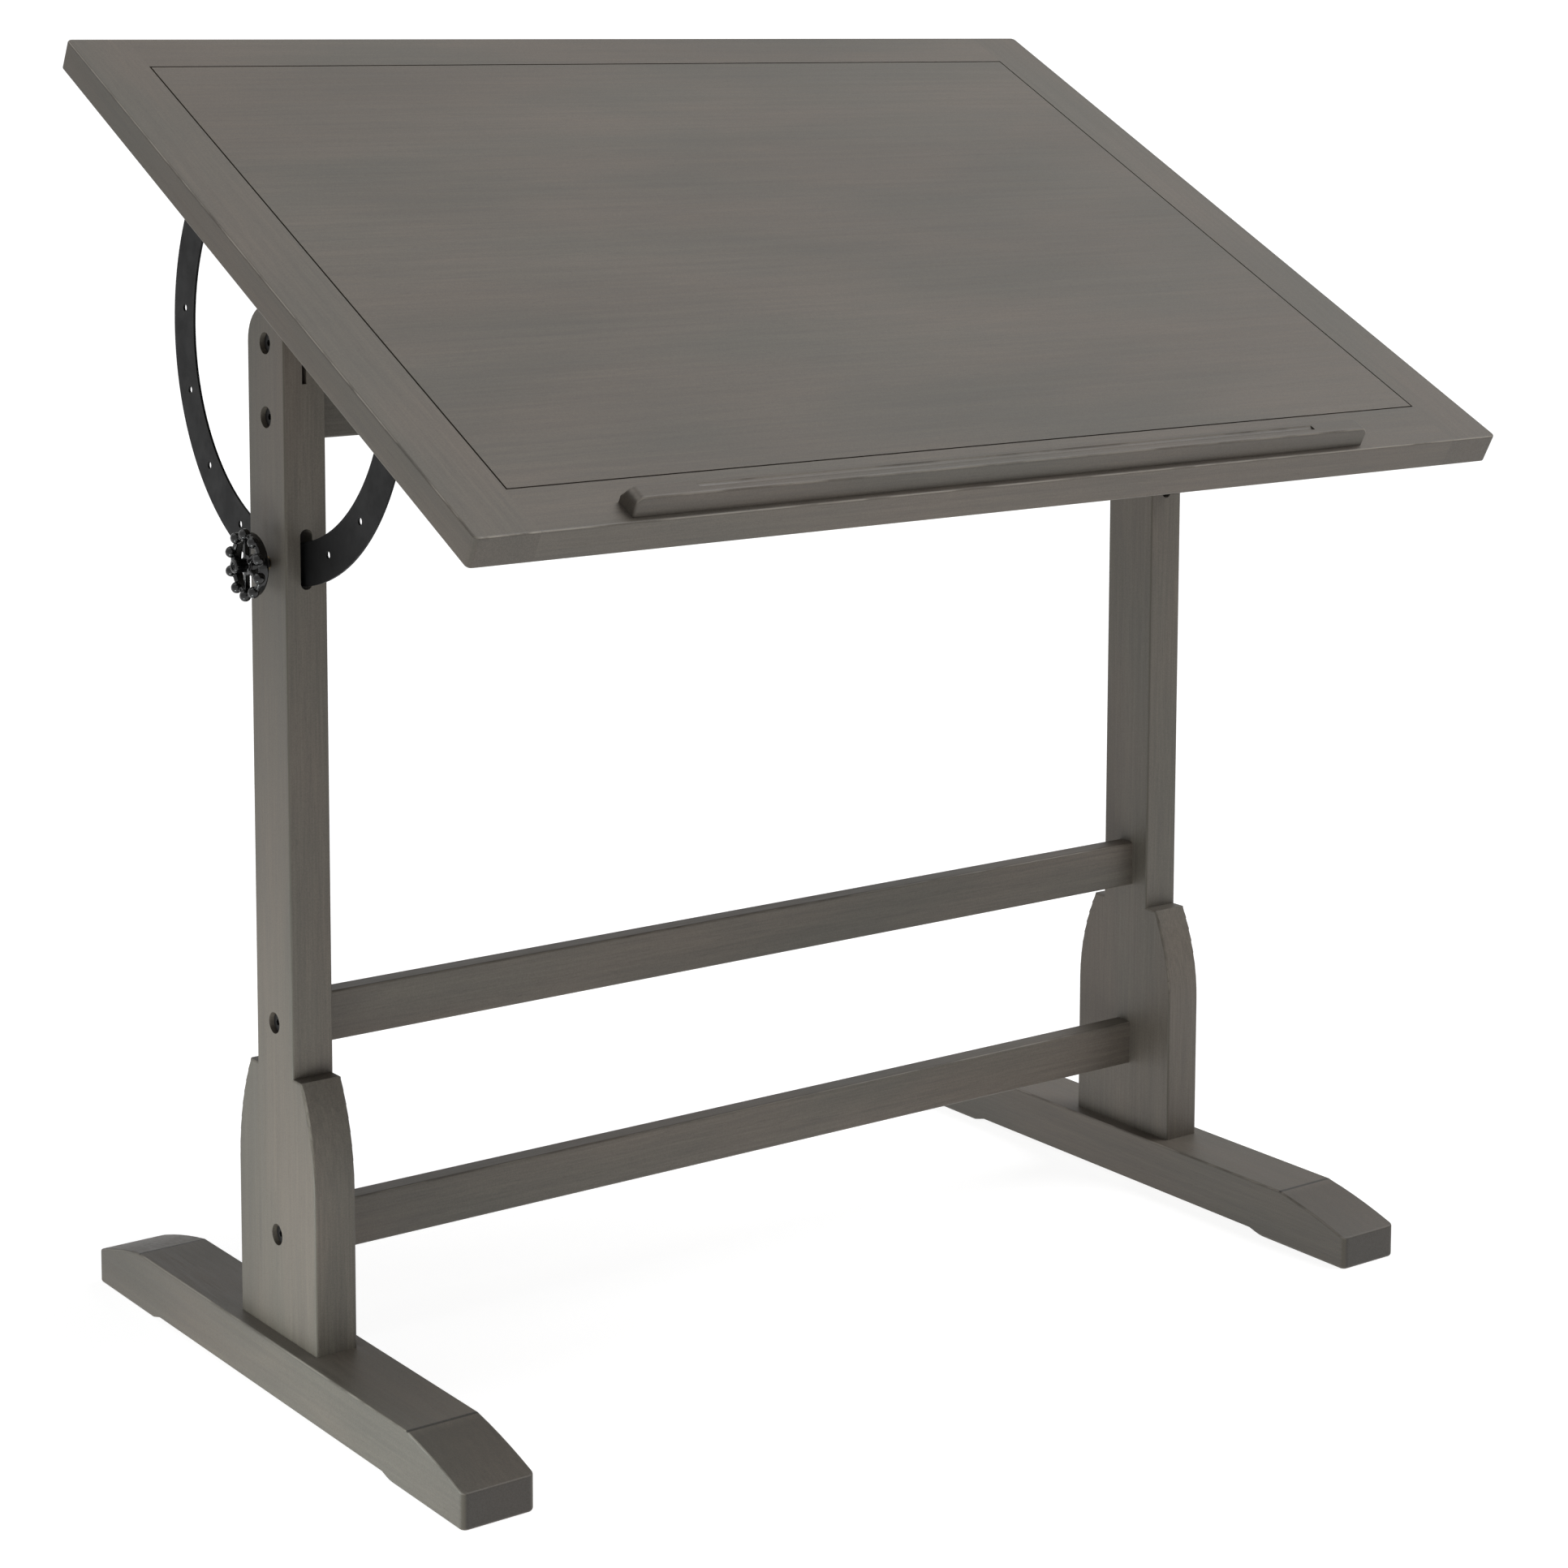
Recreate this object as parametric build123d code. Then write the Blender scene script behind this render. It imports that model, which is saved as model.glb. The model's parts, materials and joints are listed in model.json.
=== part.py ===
from build123d import *
import math
import os

# Drafting table with a tilting framed top on two slotted legs.
# Frame: +X to the sitter's right, +Y away from the sitter, +Z up, millimetres.
# The origin is on the floor, under the centre of the table's box at the drawing tilt.
# Stand pieces are drawn with Y from the legs' mid plane and Z from the floor.
# Top pieces are drawn flat, with the pivot axis along X through the origin.
# Paired pieces are drawn for the right side and mirrored for the left.
# The knob is on the left leg only.

# The tilting top
TOP_WIDTH = 1066.8
TOP_DEPTH = 762.0
TOP_THICK = 27.5
SIDE_BORDER = 56.0
FRONT_BORDER = 55.0
REAR_BORDER = 51.0
TOP_ARRIS = 1.8
TOP_CORNER = 5.0
PANEL_THICK = 18.0
TONGUE_THICK = 8.0
TONGUE_LENGTH = 8.0
TONGUE_PLAY = 0.2
SHADOW_GAP = 1.5

# The pivot, and where it lies under the top
REST_TILT = 27.5
PIVOT_Y = 38.43
PIVOT_Z = 886.0
PIVOT_TO_FRONT = 401.5
PIVOT_TO_SURFACE = 88.0

# Legs
LEG_X = 473.0
LEG_THICK = 38.0
POST_DEPTH = 62.0
BASE_DEPTH = 133.0
BASE_STRAIGHT_Z = 188.0
SHOULDER_Z = 278.0
SHOULDER_HALF_DEPTH = 44.5
WOOD_ARRIS = 2.0
ARC_SLOT_WIDTH = 11.0
ARC_SLOT_LOW_Z = 685.5
ARC_SLOT_HIGH_Z = 735.5
KERF_WIDTH = 4.0
KERF_LOW_Z = 854.0

# Feet
FOOT_WIDTH = 66.0
FOOT_HALF_LENGTH = 322.0
FOOT_HEIGHT = 51.5
FOOT_CREASE_Y = 237.5
FOOT_TIP_Z = 30.0
FOOT_CROWN = 1.7
PAD_INNER_Y = 216.0
RELIEF_HALF_LENGTH = 198.0
RELIEF_HEIGHT = 5.0
TOE_CORNER = 6.0
TOE_SOLE_ROUNDING = 3.0
SOLE_BAND = 0.1

# Rails between the legs
RAIL_THICK = 20.0
STRETCHER_HEIGHT = 42.5
LOWER_STRETCHER_Z = 136.75
UPPER_STRETCHER_Z = 318.75
TOP_RAIL_LOW_Z = 806.0
TOP_RAIL_HIGH_Z = 903.5
TOP_RAIL_BOLT_Z = 825.5

# Fasteners
BOLT_RADIUS = 3.0
BOLT_HOLE_RADIUS = 3.4
BOLT_LENGTH = 70.0
BOLT_HEAD_RADIUS = 8.1
BOLT_HEAD_HEIGHT = 4.0
HEAD_CHAMFER = 0.7
HEX_ACROSS_FLATS = 5.0
HEX_DEPTH = 2.6
COUNTERBORE_RADIUS = 9.0
COUNTERBORE_DEPTH = 7.5
PIVOT_RADIUS = 4.0
PIVOT_HOLE_RADIUS = 4.3
RUNNING_CLEARANCE = 0.05
NUT_RADIUS = 5.0
NUT_HOLE_RADIUS = 5.15
NUT_LENGTH = 14.0
NUT_HOLE_SPARE = 3.0
NUT_SLOT_WIDTH = 1.4
NUT_SLOT_DEPTH = 1.2
NUT_FROM_RAIL_END = 36.0
BOLT_BORE_IN_RAIL = 50.0
DOWEL_RADIUS = 4.0
DOWEL_HOLE_RADIUS = 4.1
DOWEL_LENGTH = 30.0
DOWEL_HOLE_DEPTH = 16.0
DOWEL_SPREAD = 13.5
END_CHAMFER = 0.8
FOOT_BOLT_Y = 38.0
FOOT_BOLT_LENGTH = 58.0
FOOT_BOLT_HEAD_Z = 16.0
FOOT_INSERT_RADIUS = 6.0
FOOT_INSERT_LENGTH = 22.0
FOOT_INSERT_LIFT = 0.5
FOOT_INSERT_HOLE_DEPTH = 26.0

# Steel arcs with their index holes
ARC_OUTER_RADIUS = 200.0
ARC_INNER_RADIUS = 164.0
ARC_THICK = 2.0
ARC_HOLE_RADIUS = 3.2
ARC_BAR_LOW = 38.0
ARC_TAB_HALF_WIDTH = 26.0
ARC_CORNER = 8.0
ARC_HOLE_CIRCLE = 180.5
ARC_TILTS = (-67.5, -45.0, -22.5, 0.0, 27.5, 50.0, 70.0)
ARC_SCREW_YS = (-150.0, -62.0, 62.0, 150.0)
ARC_SCREW_N = 52.0
ARC_SCREW_LENGTH = 22.0
ARC_SCREW_HOLE_SPARE = 6.5
PAN_HEAD_RADIUS = 4.5
PAN_HEAD_HEIGHT = 2.3
PAN_HEAD_ROUNDING = 1.2
PAN_CROSS_LENGTH = 4.6
PAN_CROSS_DEPTH = 1.2

# Cleats under the top, and wood screws
CLEAT_WIDTH = 35.0
CLEAT_HALF_LENGTH = 270.0
CLEAT_LOW = 40.0
CLEAT_SCREW_YS = (-230.0, -115.0, 0.0, 115.0, 230.0)
SCREW_RADIUS = 2.0
SCREW_HOLE_RADIUS = 2.1
SCREW_HEAD_RADIUS = 4.2
SCREW_HEAD_HEIGHT = 2.4
SCREW_HEAD_PLAY = 0.2
SCREW_POINT_LENGTH = 5.0
SCREW_POINT_RADIUS = 0.4
CROSS_LENGTH = 4.4
CROSS_WIDTH = 0.9
CROSS_DEPTH = 0.8
HOLE_SPARE = 0.5
CLEAT_SCREW_BITE = 12.0
FRAME_DOWEL_LENGTH = 48.0
FRAME_DOWEL_INSETS = (14.0, 34.0)

# Pencil ledge on the front border
LEDGE_LENGTH = 763.0
LEDGE_CENTRE_X = -13.5
LEDGE_SETBACK = 5.78
LEDGE_DEPTH = 21.0
LEDGE_HEIGHT = 17.5
LEDGE_RIDGE_DEPTH = 16.5
LEDGE_HEEL_HEIGHT = 8.0
LEDGE_ARRIS = 2.5
LEDGE_END_ROUNDING = 7.0
LEDGE_GROOVE_RADIUS = 4.0
LEDGE_GROOVE_DEPTH = 1.6
LEDGE_GROOVE_MARGIN = 60.0
LEDGE_SCREW_SPACING = 170.0
LEDGE_SCREW_BITE = 10.0

# Locking knob of the left leg: distances along its axis start at the leg's outer face
KNOB_Z = PIVOT_Z - ARC_HOLE_CIRCLE
STUD_TRAVEL = 7.5
STUD_RADIUS = 4.0
STUD_TIP = -15.2
STUD_THREAD_END = -9.5
STUD_TIP_RADIUS = 2.8
STUD_OUTER_END = 27.0
INSERT_RADIUS = 6.0
INSERT_LENGTH = 12.8
INSERT_SETBACK = 0.4
WASHER_RADIUS = 9.0
WASHER_THICK = 1.4
HUB_INNER = STUD_TRAVEL + WASHER_THICK + 0.9
HUB_OUTER = 32.0
HUB_RADIUS = 5.8
HUB_FOOT_RADIUS = 8.5
HUB_FOOT_HEIGHT = 10.0
HUB_RECESS_RADIUS = 3.2
HUB_RECESS_DEPTH = 2.0
RIM_CENTRE = 16.5
RIM_RADIUS = 24.0
RIM_WIDTH = 5.2
RIM_DEPTH = 9.0
RIM_ROUNDING = 2.5
LOBE_COUNT = 10
LOBE_RADIUS = 4.9
LOBE_CENTRE_RADIUS = 25.3
LOBE_FORWARD = 4.4
SPOKE_COUNT = 5
SPOKE_TURN = 90.0
SPOKE_WIDTH = 3.8
SPOKE_THICK = 4.6
SPOKE_RISE = 3.0
HUB_EDGE = 1.5
SEAM_TURN = 13.0

LEG_INNER_X = LEG_X - LEG_THICK / 2
LEG_OUTER_X = LEG_X + LEG_THICK / 2
UNDERSIDE = PIVOT_TO_SURFACE - TOP_THICK
PANEL_LOW = PIVOT_TO_SURFACE - PANEL_THICK
TONGUE_HIGH = PANEL_LOW + TONGUE_THICK
TOP_FRONT = -PIVOT_TO_FRONT
TOP_REAR = TOP_DEPTH - PIVOT_TO_FRONT
OPENING_X = TOP_WIDTH / 2 - SIDE_BORDER
OPENING_FRONT = TOP_FRONT + FRONT_BORDER
OPENING_REAR = TOP_REAR - REAR_BORDER
THROUGH = 400.0


def on_stand(shape):
    """Place a stand piece in the table's frame."""
    return Pos(0, PIVOT_Y, 0) * shape


def on_top(shape):
    """Place a piece of the flat top in the table's frame, at the drawing tilt."""
    return Pos(0, PIVOT_Y, PIVOT_Z) * Rot(REST_TILT, 0, 0) * shape


def mirrored(shape):
    """The left-hand twin of a right-hand piece."""
    return mirror(shape, about=Plane.YZ)


def block(x0, x1, y0, y1, z0, z1):
    """A box given by its six faces."""
    return Pos((x0 + x1) / 2, (y0 + y1) / 2, (z0 + z1) / 2) * Box(x1 - x0, y1 - y0, z1 - z0)


def rod_x(radius, x0, x1, y, z):
    """A round rod along X."""
    return Pos((x0 + x1) / 2, y, z) * Rot(0, 90, 0) * Cylinder(radius, abs(x1 - x0))


def rod_y(radius, y0, y1, x, z):
    """A round rod along Y."""
    return Pos(x, (y0 + y1) / 2, z) * Rot(90, 0, 0) * Cylinder(radius, abs(y1 - y0))


def rod_z(radius, z0, z1, x, y):
    """A round rod along Z."""
    return Pos(x, y, (z0 + z1) / 2) * Cylinder(radius, abs(z1 - z0))


def edges_on(shape, axis, value):
    """Edges that lie in the plane where the axis has this value."""
    return shape.edges().filter_by_position(axis, value - 0.01, value + 0.01)


def bolt(radius, length):
    """Socket bolt along X: the head's underside at x = 0, the shank towards -X."""
    head = rod_x(BOLT_HEAD_RADIUS, 0, BOLT_HEAD_HEIGHT, 0, 0)
    head = chamfer(head.edges().group_by(Axis.X)[-1], HEAD_CHAMFER)
    shank = rod_x(radius, -length, 0, 0, 0)
    shank = chamfer(shank.edges().group_by(Axis.X)[0], END_CHAMFER)
    hexagon = RegularPolygon(HEX_ACROSS_FLATS / 2, 6, major_radius=False)
    socket = extrude(Plane.YZ * hexagon, amount=HEX_DEPTH)
    return head + shank - Pos(BOLT_HEAD_HEIGHT - HEX_DEPTH, 0, 0) * socket


def wood_screw(length):
    """Cross-headed screw along Z: the head's top at z = 0 facing -Z, the shank towards +Z."""
    head = Pos(0, 0, SCREW_HEAD_HEIGHT / 2) * Cone(SCREW_HEAD_RADIUS, SCREW_RADIUS, SCREW_HEAD_HEIGHT)
    shank = rod_z(SCREW_RADIUS, SCREW_HEAD_HEIGHT, length - SCREW_POINT_LENGTH, 0, 0)
    point = Cone(SCREW_RADIUS, SCREW_POINT_RADIUS, SCREW_POINT_LENGTH)
    point = Pos(0, 0, length - SCREW_POINT_LENGTH / 2) * point
    slot = Box(CROSS_LENGTH, CROSS_WIDTH, 2 * CROSS_DEPTH)
    return head + shank + point - slot - Rot(0, 0, 90) * slot


def screw_hole(length, depth):
    """Countersunk hole for a wood screw, from z = 0 up."""
    sink = Pos(0, 0, SCREW_HEAD_HEIGHT / 2) * Cone(
        SCREW_HEAD_RADIUS + SCREW_HEAD_PLAY, SCREW_HOLE_RADIUS, SCREW_HEAD_HEIGHT + 0.02
    )
    return sink + rod_z(SCREW_HOLE_RADIUS, 0, min(length + 1, depth), 0, 0)


# ---------------------------------------------------------------- stand

def leg_outline():
    """Leg seen from the side: a post with a round head, shouldered above a wider base."""
    half_post = POST_DEPTH / 2
    half_base = BASE_DEPTH / 2
    wall = Line((half_base, FOOT_HEIGHT), (half_base, BASE_STRAIGHT_Z))
    curve = TangentArc(wall @ 1, (SHOULDER_HALF_DEPTH, SHOULDER_Z), tangent=(0, 1))
    step = Line(curve @ 1, (half_post, SHOULDER_Z))
    post = Line(step @ 1, (half_post, PIVOT_Z))
    crown = ThreePointArc(post @ 1, (0, PIVOT_Z + half_post), (-half_post, PIVOT_Z))
    side = [wall, curve, step, post]
    other_side = [mirror(edge, about=Plane.YZ) for edge in side]
    sole = Line((half_base, FOOT_HEIGHT), (-half_base, FOOT_HEIGHT))
    return make_face(Curve() + side + other_side + [crown, sole])


def leg_bolt_heights():
    """Heights of the three rail bolts."""
    return (LOWER_STRETCHER_Z, UPPER_STRETCHER_Z, TOP_RAIL_BOLT_Z)


def dowel_heights():
    """Heights of the locating dowels in each rail end."""
    heights = [z + s * DOWEL_SPREAD for z in (LOWER_STRETCHER_Z, UPPER_STRETCHER_Z) for s in (-1, 1)]
    rail_span = PIVOT_Z - TOP_RAIL_BOLT_Z
    return heights + [TOP_RAIL_BOLT_Z + rail_span / 3, TOP_RAIL_BOLT_Z + 2 * rail_span / 3]


def right_leg(has_knob):
    """One plank with the slot for the arc, the kerf for its tab and all bolt holes."""
    plank = extrude(Plane.YZ * leg_outline(), amount=LEG_THICK / 2, both=True)
    arrises = edges_on(plank, Axis.X, LEG_THICK / 2) + edges_on(plank, Axis.X, -LEG_THICK / 2)
    arrises = [edge for edge in arrises if edge.center().Z > FOOT_HEIGHT + 1]
    plank = Pos(LEG_X, 0, 0) * fillet(arrises, WOOD_ARRIS)
    slot_radius = ARC_SLOT_WIDTH / 2
    low_z = ARC_SLOT_LOW_Z + slot_radius
    high_z = ARC_SLOT_HIGH_Z - slot_radius
    plank -= block(LEG_X - slot_radius, LEG_X + slot_radius, -POST_DEPTH, POST_DEPTH, low_z, high_z)
    plank -= rod_y(slot_radius, -POST_DEPTH, POST_DEPTH, LEG_X, low_z)
    plank -= rod_y(slot_radius, -POST_DEPTH, POST_DEPTH, LEG_X, high_z)
    kerf_half = KERF_WIDTH / 2
    plank -= block(LEG_X - kerf_half, LEG_X + kerf_half, -POST_DEPTH, POST_DEPTH,
                   KERF_LOW_Z, PIVOT_Z + POST_DEPTH)
    holes = [(z, BOLT_HOLE_RADIUS) for z in leg_bolt_heights()] + [(PIVOT_Z, PIVOT_HOLE_RADIUS)]
    for z, radius in holes:
        plank -= rod_x(radius, LEG_INNER_X - 1, LEG_OUTER_X + 1, 0, z)
        plank -= rod_x(COUNTERBORE_RADIUS, LEG_OUTER_X - COUNTERBORE_DEPTH, LEG_OUTER_X + 1, 0, z)
    if has_knob:
        plank -= rod_x(INSERT_RADIUS, LEG_X, LEG_OUTER_X + 1, 0, KNOB_Z)
    for z in dowel_heights():
        plank -= rod_x(DOWEL_HOLE_RADIUS, LEG_INNER_X - 1, LEG_INNER_X + DOWEL_HOLE_DEPTH, 0, z)
    for y in (-FOOT_BOLT_Y, FOOT_BOLT_Y):
        plank -= rod_z(FOOT_INSERT_RADIUS, FOOT_HEIGHT - 1, FOOT_HEIGHT + FOOT_INSERT_HOLE_DEPTH, LEG_X, y)
    return plank


def foot_outline():
    """Foot seen from the side: flat top, crowned slopes, and a relief between two pads."""
    tip = (FOOT_HALF_LENGTH, FOOT_TIP_Z)
    crease = (FOOT_CREASE_Y, FOOT_HEIGHT)
    slope = math.hypot(tip[0] - crease[0], tip[1] - crease[1])
    crown = ((tip[0] + crease[0]) / 2 + FOOT_CROWN * (crease[1] - tip[1]) / slope,
             (tip[1] + crease[1]) / 2 + FOOT_CROWN * (tip[0] - crease[0]) / slope)
    toe = (FOOT_HALF_LENGTH, 0)
    half = [
        ThreePointArc(crease, crown, tip),
        Line(tip, toe),
        Line(toe, (PAD_INNER_Y, 0)),
        Line((PAD_INNER_Y, 0), (RELIEF_HALF_LENGTH, RELIEF_HEIGHT)),
    ]
    other_half = [mirror(edge, about=Plane.YZ) for edge in half]
    top = Line(crease, (-FOOT_CREASE_Y, FOOT_HEIGHT))
    relief = Line((RELIEF_HALF_LENGTH, RELIEF_HEIGHT), (-RELIEF_HALF_LENGTH, RELIEF_HEIGHT))
    return make_face(Curve() + half + other_half + [top, relief])


def whole_foot():
    """Foot with rounded toes and two counterbored bolt holes from below; both feet are alike."""
    beam = extrude(Plane.YZ * foot_outline(), amount=FOOT_WIDTH / 2, both=True)
    toe_start = FOOT_HALF_LENGTH - TOE_CORNER
    flank = FOOT_WIDTH / 2 - TOE_CORNER
    corners = [edge for edge in beam.edges().filter_by(Axis.Z) if abs(edge.center().Y) > toe_start]
    beam = fillet(corners, TOE_CORNER)
    soles = [edge for edge in beam.edges()
             if edge.center().Z < SOLE_BAND and abs(edge.center().Y) > toe_start - SOLE_BAND]
    beam = fillet(soles, TOE_SOLE_ROUNDING)
    arrises = [edge for edge in beam.edges()
               if edge.center().Z > FOOT_TIP_Z - TOE_SOLE_ROUNDING and abs(edge.tangent_at(0.5).Z) < 0.9
               and (abs(edge.center().X) > flank - SOLE_BAND or abs(edge.center().Y) > toe_start)]
    beam = Pos(LEG_X, 0, 0) * fillet(arrises, WOOD_ARRIS)
    for y in (-FOOT_BOLT_Y, FOOT_BOLT_Y):
        beam -= rod_z(PIVOT_HOLE_RADIUS, 0, FOOT_HEIGHT + 1, LEG_X, y)
        beam -= rod_z(COUNTERBORE_RADIUS, 0, FOOT_BOLT_HEAD_Z, LEG_X, y)
    return beam


def foot_slice(low_z, high_z):
    """Part of the foot between two heights."""
    reach_x = FOOT_WIDTH / 2 + 1
    reach_y = FOOT_HALF_LENGTH + 1
    return whole_foot() & block(LEG_X - reach_x, LEG_X + reach_x, -reach_y, reach_y, low_z, high_z)


def right_foot():
    """The foot's beam, down to the height of the relief."""
    return foot_slice(RELIEF_HEIGHT, FOOT_HEIGHT + 1)


def right_foot_pads():
    """The two sole pads glued under the beam's ends, on either side of the relief."""
    return foot_slice(-1, RELIEF_HEIGHT).solids()


def rail(low_z, high_z, bolt_zs, dowel_zs):
    """Flat rail between the legs, bored at both ends for bolts, barrel nuts and dowels."""
    half = RAIL_THICK / 2
    board = block(-LEG_INNER_X, LEG_INNER_X, -half, half, low_z, high_z)
    board = fillet(board.edges().filter_by(Axis.X), WOOD_ARRIS)
    nut_x = LEG_INNER_X - NUT_FROM_RAIL_END
    for side in (-1, 1):
        for z in bolt_zs:
            radius = PIVOT_HOLE_RADIUS if z == PIVOT_Z else BOLT_HOLE_RADIUS
            board -= rod_x(radius, side * (LEG_INNER_X - BOLT_BORE_IN_RAIL), side * (LEG_INNER_X + 1), 0, z)
            board -= rod_y(NUT_HOLE_RADIUS, half - NUT_LENGTH - NUT_HOLE_SPARE, half + 1, side * nut_x, z)
        for z in dowel_zs:
            inner_x = side * (LEG_INNER_X - DOWEL_HOLE_DEPTH)
            board -= rod_x(DOWEL_HOLE_RADIUS, inner_x, side * (LEG_INNER_X + 1), 0, z)
    return board


def lower_stretcher():
    """Rail near the feet."""
    half = STRETCHER_HEIGHT / 2
    return rail(LOWER_STRETCHER_Z - half, LOWER_STRETCHER_Z + half, [LOWER_STRETCHER_Z], dowel_heights()[0:2])


def upper_stretcher():
    """Rail at the legs' shoulders."""
    half = STRETCHER_HEIGHT / 2
    return rail(UPPER_STRETCHER_Z - half, UPPER_STRETCHER_Z + half, [UPPER_STRETCHER_Z], dowel_heights()[2:4])


def top_rail():
    """Deep rail under the top, also held by the two pivot bolts."""
    return rail(TOP_RAIL_LOW_Z, TOP_RAIL_HIGH_Z, [TOP_RAIL_BOLT_Z, PIVOT_Z], dowel_heights()[4:6])


def right_leg_bolts():
    """The three rail bolts of one leg."""
    seat_x = LEG_OUTER_X - COUNTERBORE_DEPTH
    return [Pos(seat_x, 0, z) * bolt(BOLT_RADIUS, BOLT_LENGTH) for z in leg_bolt_heights()]


def right_pivot_bolt():
    """The bolt that the arc's tab turns on."""
    seat_x = LEG_OUTER_X - COUNTERBORE_DEPTH
    return Pos(seat_x, 0, PIVOT_Z) * bolt(PIVOT_RADIUS, BOLT_LENGTH)


def barrel_nut(thread_radius):
    """Cross dowel nut along Y with a driver slot in its open end."""
    nut = rod_y(NUT_RADIUS, -NUT_LENGTH / 2, NUT_LENGTH / 2, 0, 0)
    nut = chamfer(nut.edges().filter_by(GeomType.CIRCLE), END_CHAMFER)
    nut -= rod_x(thread_radius + RUNNING_CLEARANCE, -NUT_RADIUS, NUT_RADIUS, 0, 0)
    slot_half = NUT_SLOT_WIDTH / 2
    return nut - block(-NUT_RADIUS, NUT_RADIUS, NUT_LENGTH / 2 - NUT_SLOT_DEPTH, NUT_LENGTH / 2,
                       -slot_half, slot_half)


def right_barrel_nuts():
    """Nuts for the three rail bolts and the pivot bolt of one side."""
    nut_x = LEG_INNER_X - NUT_FROM_RAIL_END
    nuts = [Pos(nut_x, 0, z) * barrel_nut(BOLT_RADIUS) for z in leg_bolt_heights()]
    return nuts + [Pos(nut_x, 0, PIVOT_Z) * barrel_nut(PIVOT_RADIUS)]


def dowel(length):
    """Wooden dowel along X with chamfered ends."""
    pin = rod_x(DOWEL_RADIUS, -length / 2, length / 2, 0, 0)
    return chamfer(pin.edges().filter_by(GeomType.CIRCLE), END_CHAMFER)


def right_rail_dowels():
    """Dowels that stop the rails turning on their bolts."""
    return [Pos(LEG_INNER_X, 0, z) * dowel(DOWEL_LENGTH) for z in dowel_heights()]


def right_foot_bolts():
    """Two bolts up through the foot into the leg."""
    up = bolt(PIVOT_RADIUS, FOOT_BOLT_LENGTH)
    return [Pos(LEG_X, y, FOOT_BOLT_HEAD_Z) * Rot(0, 90, 0) * up for y in (-FOOT_BOLT_Y, FOOT_BOLT_Y)]


def right_foot_inserts():
    """Threaded inserts in the leg's end grain for the foot bolts."""
    def insert(y):
        low_z = FOOT_HEIGHT + FOOT_INSERT_LIFT
        high_z = low_z + FOOT_INSERT_LENGTH
        body = rod_z(FOOT_INSERT_RADIUS, low_z, high_z, LEG_X, y)
        return body - rod_z(PIVOT_RADIUS + RUNNING_CLEARANCE, low_z - 1, high_z + 1, LEG_X, y)
    return [insert(y) for y in (-FOOT_BOLT_Y, FOOT_BOLT_Y)]


def knob_insert():
    """Threaded insert in the leg's outer cheek that the knob's stud runs in."""
    outer = LEG_OUTER_X - INSERT_SETBACK
    sleeve = rod_x(INSERT_RADIUS, outer - INSERT_LENGTH, outer, 0, KNOB_Z)
    return sleeve - rod_x(STUD_RADIUS + RUNNING_CLEARANCE, outer - INSERT_LENGTH - 1, outer + 1, 0, KNOB_Z)


# ---------------------------------------------------------------- locking knob, drawn for a right leg

def handwheel():
    """Cast handwheel: a deep rim lobed along its outer face, thin spokes, and a long hub with a recessed face."""
    foot = rod_z(HUB_FOOT_RADIUS, HUB_INNER - RIM_CENTRE, HUB_INNER + HUB_FOOT_HEIGHT - RIM_CENTRE, 0, 0)
    neck = rod_z(HUB_RADIUS, 0, HUB_OUTER - RIM_CENTRE, 0, 0)
    neck = fillet(neck.edges().group_by(Axis.Z)[-1], HUB_EDGE)
    wheel = Rot(0, 0, SEAM_TURN) * (foot + neck)
    slope = math.degrees(math.atan2(SPOKE_RISE, RIM_RADIUS - HUB_RADIUS))
    spoke = block(HUB_RADIUS - 3, RIM_RADIUS + 1, -SPOKE_WIDTH / 2, SPOKE_WIDTH / 2,
                  -SPOKE_THICK / 2, SPOKE_THICK / 2)
    spoke = Pos(0, 0, SPOKE_RISE) * Rot(0, slope, 0) * spoke
    for index in range(SPOKE_COUNT):
        wheel += Rot(0, 0, SPOKE_TURN + index * 360 / SPOKE_COUNT) * spoke
    section = Plane.XZ * Pos(RIM_RADIUS, 0) * RectangleRounded(RIM_WIDTH, RIM_DEPTH, RIM_ROUNDING)
    wheel += Rot(0, 0, SEAM_TURN) * revolve(section, Axis.Z)
    lobe = Pos(LOBE_CENTRE_RADIUS, 0, 0) * Sphere(LOBE_RADIUS)
    for index in range(LOBE_COUNT):
        wheel += Pos(0, 0, LOBE_FORWARD) * Rot(0, 0, SPOKE_TURN + (index + 0.5) * 360 / LOBE_COUNT) * lobe
    wheel -= rod_z(HUB_RECESS_RADIUS, HUB_OUTER - RIM_CENTRE - HUB_RECESS_DEPTH, HUB_OUTER, 0, 0)
    wheel -= rod_z(STUD_RADIUS, -RIM_CENTRE, STUD_OUTER_END - RIM_CENTRE, 0, 0)
    return Pos(LEG_OUTER_X + RIM_CENTRE, 0, KNOB_Z) * Rot(0, 90, 0) * wheel


def knob_stud():
    """Threaded stud with a smaller round point that enters the arc's holes."""
    stud = rod_x(STUD_RADIUS, STUD_THREAD_END, STUD_OUTER_END, 0, 0)
    point = rod_x(STUD_TIP_RADIUS, STUD_TIP, STUD_THREAD_END, 0, 0)
    point = chamfer(point.edges().group_by(Axis.X)[0], END_CHAMFER)
    return Pos(LEG_OUTER_X, 0, KNOB_Z) * (stud + point)


def knob_washer():
    """Loose washer that stays against the hub."""
    outer = HUB_INNER - 0.3
    ring = rod_x(WASHER_RADIUS, outer - WASHER_THICK, outer, 0, 0)
    ring -= rod_x(STUD_RADIUS + RUNNING_CLEARANCE, 0, outer + 1, 0, 0)
    return Pos(LEG_OUTER_X, 0, KNOB_Z) * ring


# ---------------------------------------------------------------- tilting top

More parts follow.
